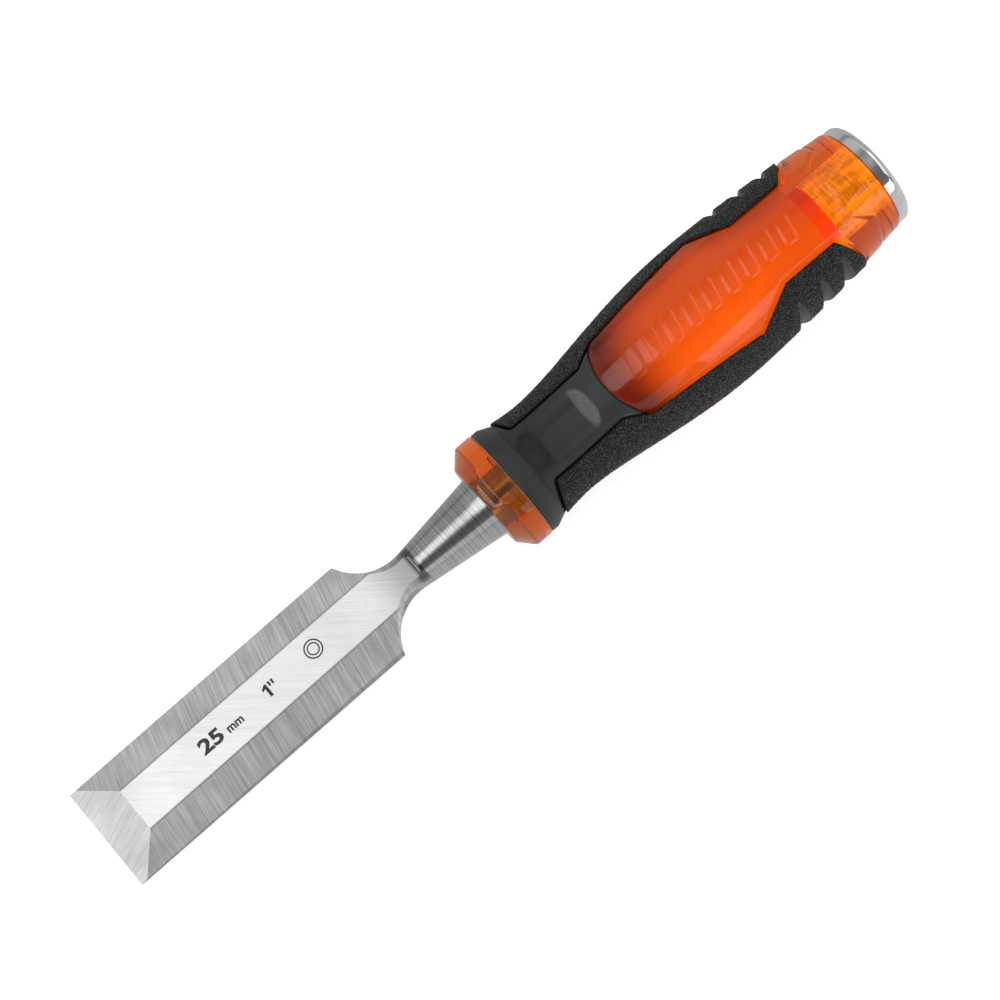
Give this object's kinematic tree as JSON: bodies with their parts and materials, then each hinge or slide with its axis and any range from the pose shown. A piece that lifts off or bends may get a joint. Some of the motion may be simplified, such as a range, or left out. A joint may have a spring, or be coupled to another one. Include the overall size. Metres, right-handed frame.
{
  "type": "bench chisel",
  "caption": "Bevel-edge bench chisel with a through tang, a clear orange handle with soft grips on its sides and neck, and a steel strike cap.",
  "frame": {"origin": "centre of the strike cap's flat face, on the tool's axis", "axes": "+X along the tool's axis from the strike face to the cutting edge, +Z out of the bevelled side of the blade, +Y across the blade"},
  "size_m": [0.222, 0.0336, 0.0336],
  "materials": {
    "blade_steel": "ground",
    "cap_steel": "polished",
    "core_orange": "gloss",
    "clear_orange": "clear gloss",
    "smooth_grey": "satin",
    "grip_black": "fine grain"
  },
  "bodies": {
    "root": {"blade": "blade_steel", "core_tube": "core_orange", "strike_cap": "cap_steel", "clear_handle": "clear_orange", "smooth_grip": "smooth_grey", "left_pad": "grip_black", "right_pad": "grip_black"}
  },
  "joints": []
}
